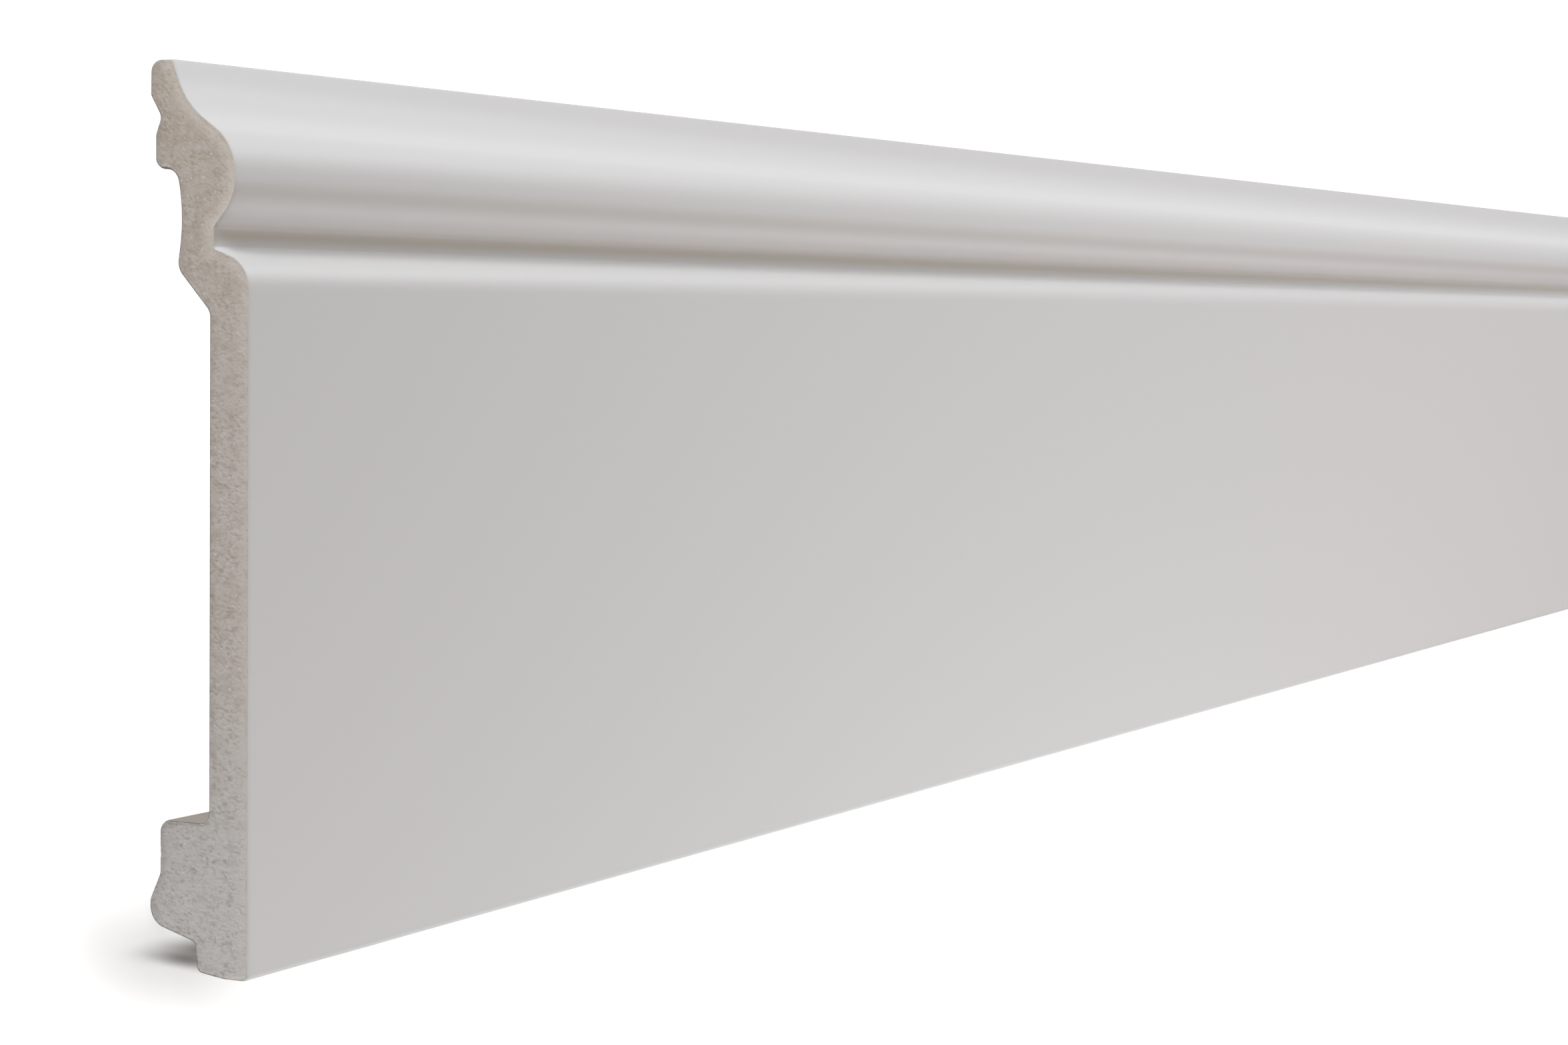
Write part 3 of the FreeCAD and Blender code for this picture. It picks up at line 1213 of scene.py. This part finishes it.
        # One across and one thick, so that its scale is its size.
        disc = add(tree, "GeometryNodeMeshCylinder", output="Mesh", inputs={
            "Vertices": self.bits.corners, "Radius": 0.5, "Depth": 1.0})
        bit = add(tree, "GeometryNodeTransform", inputs={
            "Geometry": disc, "Rotation": (0.0, math.pi / 2, 0.0),
            "Scale": add(tree, COMBINE, given["Width"], given["Length"], given["Thickness"])})
        strewn = add(tree, "GeometryNodeInstanceOnPoints", inputs={
            "Points": points, "Instance": bit, "Rotation": turned,
            "Scale": add(tree, COMBINE, size, size, size)})
        real = add(tree, "GeometryNodeRealizeInstances", strewn)
        spot = add(tree, POSITION)
        x, y, z = (add(tree, SEPARATE, spot, output=axis) for axis in "XYZ")
        out = add(tree, MATH, x, operation="ABSOLUTE")
        out = add(tree, MATH, out, given["Half Length"], operation="MINIMUM")
        side = add(tree, MATH, x, operation="SIGN")
        held = add(tree, COMBINE, add(tree, MATH, side, out, operation="MULTIPLY"), y, z)
        trimmed = add(tree, SET_POSITION, inputs={"Geometry": real, "Position": held})
        finished(tree, trimmed, given["Material"])
        return tree

    def build(self) -> list[bpy.types.Object]:
        """Makes the torn slab and the bits on it.

        Returns:
            The finished pieces.
        """
        side = self.end.name.lower()
        slab = self.slab()
        angle = math.radians(self.style.smear_angle)
        torn = place(f"sawn_end_{side}", shaped(slab, self.torn_tree(), {
            "Into Board": float(-self.end.value), "Smear Angle": angle, **labelled(self.tear),
            "Seed": float(self.seed), "Material": self.foam}))
        bpy.data.objects.remove(slab)
        bits = self.bits
        strewn = place(f"{bits.name}_{side}", shaped(torn, self.scatter_tree(), {
            "Length": bits.length * MM, "Width": bits.width * MM, "Thickness": bits.thickness * MM,
            "Density": bits.density, "Smear Angle": angle, "Spread": math.radians(bits.spread),
            "Margin": bits.margin * MM, "Half Length": self.length / 2 * MM, "Seed": bits.seed + self.seed,
            "Material": self.shards}))
        return [torn, strewn]


@dataclass(frozen=True)
class Softbox:
    """A soft square lamp: its place in metres, the spot along the board that it faces, and its light."""

    name: str
    spot: tuple[float, float, float]
    aim: float
    size: float
    watts: float
    colour: tuple[float, float, float]


@dataclass(frozen=True)
class PaintedShadow:
    """A painted shadow beside the foot, where the floor glows less, in millimetres, with its turn in degrees.

    The depth is how much less the floor glows in its middle.
    """

    past_end: float
    up_face: float
    length: float
    width: float
    depth: float
    turn: float


@dataclass
class Studio:
    """The white floor, the soft lights and the camera.

    Its own lengths are in millimetres and the lamps' in metres.
    """

    board_length: float
    focal_length: float = 81.67
    sensor_width: float = 36.0
    nearest: float = 10.0
    farthest: float = 50000.0
    camera_before_end: float = 437.16
    camera_up_face: float = 32.63
    camera_off_wall: float = 324.65
    aim_past_end: float = 214.67
    aim_up_face: float = -10.95
    roll: float = 0.66
    floor_reach: float = 6000.0
    paper: str = "#F2F2F2"
    # The paper as the camera sees it: darker and warmer than the paper, so that the painted shadow at the
    # foot shows warm; the glow whitens it elsewhere.
    veiled_paper: str = "#ADAAA7"
    ambient: float = 0.1
    lamps: tuple[Softbox, ...] = (
        Softbox("over_top_edge", (-2.4, 1.97, 0.347), -0.7, 1.2, 49.0, (0.97, 0.98, 1.0)),
        Softbox("beyond_and_above", (0.6, 1.532, 1.286), -0.7, 1.2, 17.6, (0.93, 0.95, 1.0)),
        Softbox("beyond_and_below", (0.6, -1.532, 1.286), -0.7, 1.2, 6.8, (1.0, 0.86, 0.93)),
        Softbox("front_fill_near_end", (-0.9, -0.3, 0.55), -0.85, 0.35, 0.724, (1.0, 0.92, 0.86)),
        Softbox("front_fill_middle", (-0.3, -0.3, 0.55), -0.25, 0.35, 0.656, (1.0, 0.857, 0.817)),
        Softbox("low_fill_near_end", (-0.8, -0.35, 0.1), -0.75, 0.25, 0.254, (0.667, 0.956, 1.0)),
        Softbox("low_fill_middle", (-0.6, -0.4, 0.16), -0.55, 0.2, 0.384, (0.894, 0.942, 1.0)),
    )
    shadows: tuple[PaintedShadow, ...] = (
        PaintedShadow(32.5, -70.0, 43.5, 3.6, 1.15, 6.7),
        PaintedShadow(14.3, -70.4, 20.0, 1.7, 0.37, 15.0),
        PaintedShadow(3.0, -67.5, 41.0, 14.5, 0.42, 15.0),
    )

    def camera(self) -> None:
        """Stands the camera before the near end and above it, looking down along the board."""
        near = -self.board_length / 2
        spot = Vector((near - self.camera_before_end, self.camera_up_face, self.camera_off_wall)) * MM
        aim = Vector((near + self.aim_past_end, self.aim_up_face, 0.0)) * MM
        forward = (aim - spot).normalized()
        right = forward.cross(Vector((0, 1, 0))).normalized()
        up = right.cross(forward)
        turn = Matrix((right, up, -forward)).transposed().to_4x4()
        data = bpy.data.cameras.new("camera")
        data.lens = self.focal_length
        data.sensor_width = self.sensor_width
        data.clip_start = self.nearest * MM
        data.clip_end = self.farthest * MM
        view = bpy.data.objects.new("camera", data)
        view.matrix_world = Matrix.Translation(spot) @ turn @ Matrix.Rotation(math.radians(self.roll), 4, "Z")
        bpy.context.scene.collection.objects.link(view)
        bpy.context.scene.camera = view

    @staticmethod
    def seen(tree: Tree) -> Socket:
        """Tells what the camera sees, straight or through gloss or glass, from light that bounces.

        Args:
            tree: The tree that gets the nodes.

        Returns:
            1 for what is seen and 0 for the rest.
        """
        path = add(tree, "ShaderNodeLightPath").node.outputs
        shown = add(tree, MATH, path["Is Camera Ray"], path["Is Glossy Ray"], operation="MAXIMUM")
        return add(tree, MATH, shown, path["Is Transmission Ray"], operation="MAXIMUM")

    def glow(self, tree: Tree) -> Socket:
        """Dims the floor in each soft patch beside the foot: a painted shadow over the floor's own shade.

        Args:
            tree: The tree that gets the nodes.

        Returns:
            How strongly the floor glows, 1 outside the patches.
        """
        spot = add(tree, "ShaderNodeTexCoord", output="Object")
        glow = 1.0
        for shadow in self.shadows:
            middle = Vector((shadow.past_end - self.board_length / 2, shadow.up_face, 0)) * MM
            away = add(tree, VECTOR_MATH, spot, middle, operation="SUBTRACT")
            turned = add(tree, "ShaderNodeVectorRotate", rotation_type="Z_AXIS", inputs={
                "Vector": away, "Angle": math.radians(shadow.turn)})
            reach = (shadow.length * MM, shadow.width * MM, 1.0)
            shares = add(tree, VECTOR_MATH, turned, reach, operation="DIVIDE")
            share = add(tree, VECTOR_MATH, shares, operation="LENGTH", output="Value")
            lost = add(tree, RANGE, share, 0.0, 1.0, shadow.depth, 0.0, **SMOOTH)
            glow = add(tree, MATH, glow, lost, operation="SUBTRACT")
        return add(tree, MATH, glow, 0.0, operation="MAXIMUM")

    def floor(self) -> None:
        """Lays a wide floor of white paper: to the eye it glows evenly, but for a partly painted shadow at
        the foot.
        """
        mesh = bpy.data.meshes.new("floor")
        reach = self.floor_reach * MM
        corners = [(-reach, -reach, 0), (reach, -reach, 0), (reach, reach, 0), (-reach, reach, 0)]
        mesh.from_pydata(corners, [], [(0, 1, 2, 3)])
        material, tree = new_material("white_studio_paper")
        paper, veiled = (add(tree, "ShaderNodeBsdfDiffuse", inputs={"Color": linear(code)})
                         for code in (self.paper, self.veiled_paper))
        lit = add(tree, "ShaderNodeEmission", inputs={"Color": WHITE, "Strength": self.glow(tree)})
        both = add(tree, "ShaderNodeAddShader", veiled, lit)
        shader = add(tree, "ShaderNodeMixShader", self.seen(tree), paper, both)
        add(tree, "ShaderNodeOutputMaterial", inputs={"Surface": shader})
        mesh.materials.append(material)
        place("floor", mesh)

    def world(self) -> None:
        """Even light from all round, and white wherever the camera sees past the floor."""
        world = bpy.data.worlds.new("studio")
        world.use_nodes = True
        tree = world.node_tree
        tree.nodes.clear()
        soft, white = (add(tree, "ShaderNodeBackground", inputs={"Color": WHITE, "Strength": strength})
                       for strength in (self.ambient, 1.0))
        both = add(tree, "ShaderNodeMixShader", self.seen(tree), soft, white)
        add(tree, "ShaderNodeOutputWorld", inputs={"Surface": both})
        bpy.context.scene.world = world

    def lamp(self, softbox: Softbox) -> None:
        """Hangs a lamp so that it faces the board.

        Args:
            softbox: The lamp.
        """
        data = bpy.data.lights.new(softbox.name, "AREA")
        data.shape = "SQUARE"
        data.size = softbox.size
        data.energy = softbox.watts
        data.color = softbox.colour
        lamp = bpy.data.objects.new(softbox.name, data)
        spot = Vector(softbox.spot)
        away = spot - Vector((softbox.aim, 0, 0))
        lamp.matrix_world = Matrix.Translation(spot) @ away.to_track_quat("Z", "Y").to_matrix().to_4x4()
        bpy.context.scene.collection.objects.link(lamp)

    def build(self) -> None:
        """Sets up the whole studio."""
        bpy.context.scene.view_settings.view_transform = "Standard"
        self.camera()
        self.floor()
        self.world()
        for softbox in self.lamps:
            self.lamp(softbox)


def finish_piece(piece: bpy.types.Object) -> None:
    """Ties a piece to the board's body, hides the imported board node, and reports it.

    Args:
        piece: The finished piece.
    """
    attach(piece, "root")
    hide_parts(NODE)
    LOG.info("%s: %d triangles", piece.name, sum(len(face.vertices) - 2 for face in piece.data.polygons))


def main() -> None:
    """Builds the board and the studio."""
    logging.basicConfig(level=logging.INFO, format="%(name)s: %(message)s")
    low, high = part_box(NODE)
    size = (high - low) / MM
    section = Section(height=size.y, depth=size.z)
    edge = CutEdge()
    foam = SawnFoam()
    long_faces = moulding_material(SprayedPrimer(), ExtrudedSkin())
    finish_piece(Moulding(section, size.x, long_faces, edge).build())
    sawn, shards = foam_material(foam), shard_material(foam)
    first_seed = 11
    for seed, end in enumerate(End, first_seed):
        for piece in SawnEnd(section, end, size.x, sawn, shards, edge.film, seed).build():
            finish_piece(piece)
    Studio(size.x).build()


if __name__ == "__main__":
    main()
